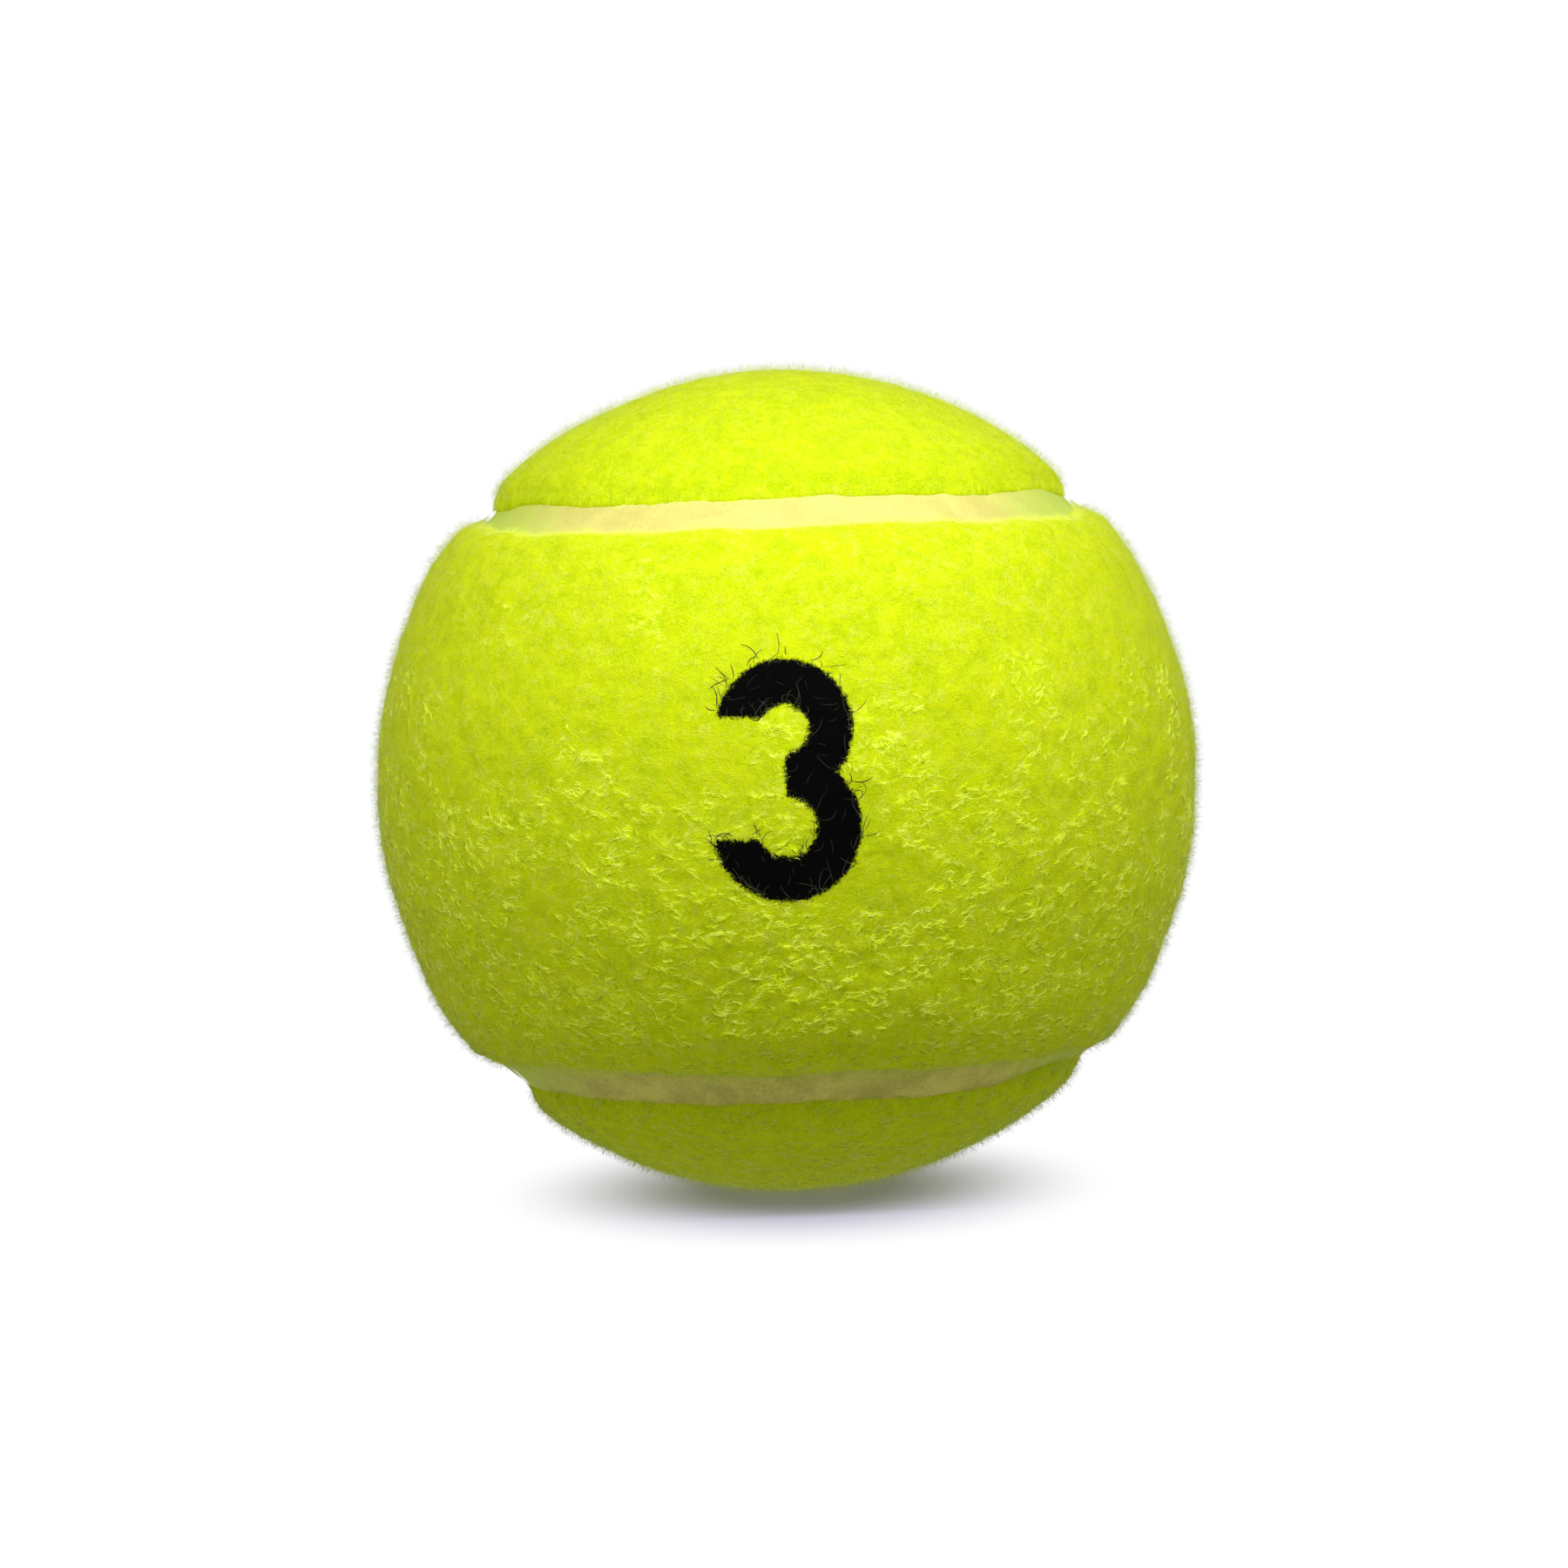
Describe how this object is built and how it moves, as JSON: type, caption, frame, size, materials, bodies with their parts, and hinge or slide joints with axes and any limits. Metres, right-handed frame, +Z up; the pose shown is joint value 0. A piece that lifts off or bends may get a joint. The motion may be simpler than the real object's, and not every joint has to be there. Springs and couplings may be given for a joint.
{
  "type": "tennis ball",
  "caption": "Pressurised tennis ball: hollow rubber core under dumbbell-shaped yellow felt panels, joined by a recessed seam of pale rubber.",
  "frame": {"origin": "centre of the ball", "axes": "+Z up, -Y towards the waist of the front felt panel; the seam has mirror symmetry about X = 0 and Z = 0, and a quarter turn about Y with a mirror in Y = 0 maps it onto itself"},
  "size_m": [0.0666, 0.0666, 0.0666],
  "materials": {
    "core_rubber": "matte moulded rubber",
    "core_cement": "satin cured rubber cement",
    "backing_rubber": "matte rubber solution",
    "felt": "raised wool and nylon nap, optic yellow",
    "seam_rubber": "matte vulcanised rubber cement, cream"
  },
  "bodies": {
    "root": {"core_half_front": "core_rubber", "core_half_back": "core_rubber", "core_joint_ring": "core_cement", "front_panel_backing": "backing_rubber", "back_panel_backing": "backing_rubber", "front_felt_panel": "felt", "back_felt_panel": "felt", "seam_rubber": "seam_rubber"}
  },
  "joints": []
}
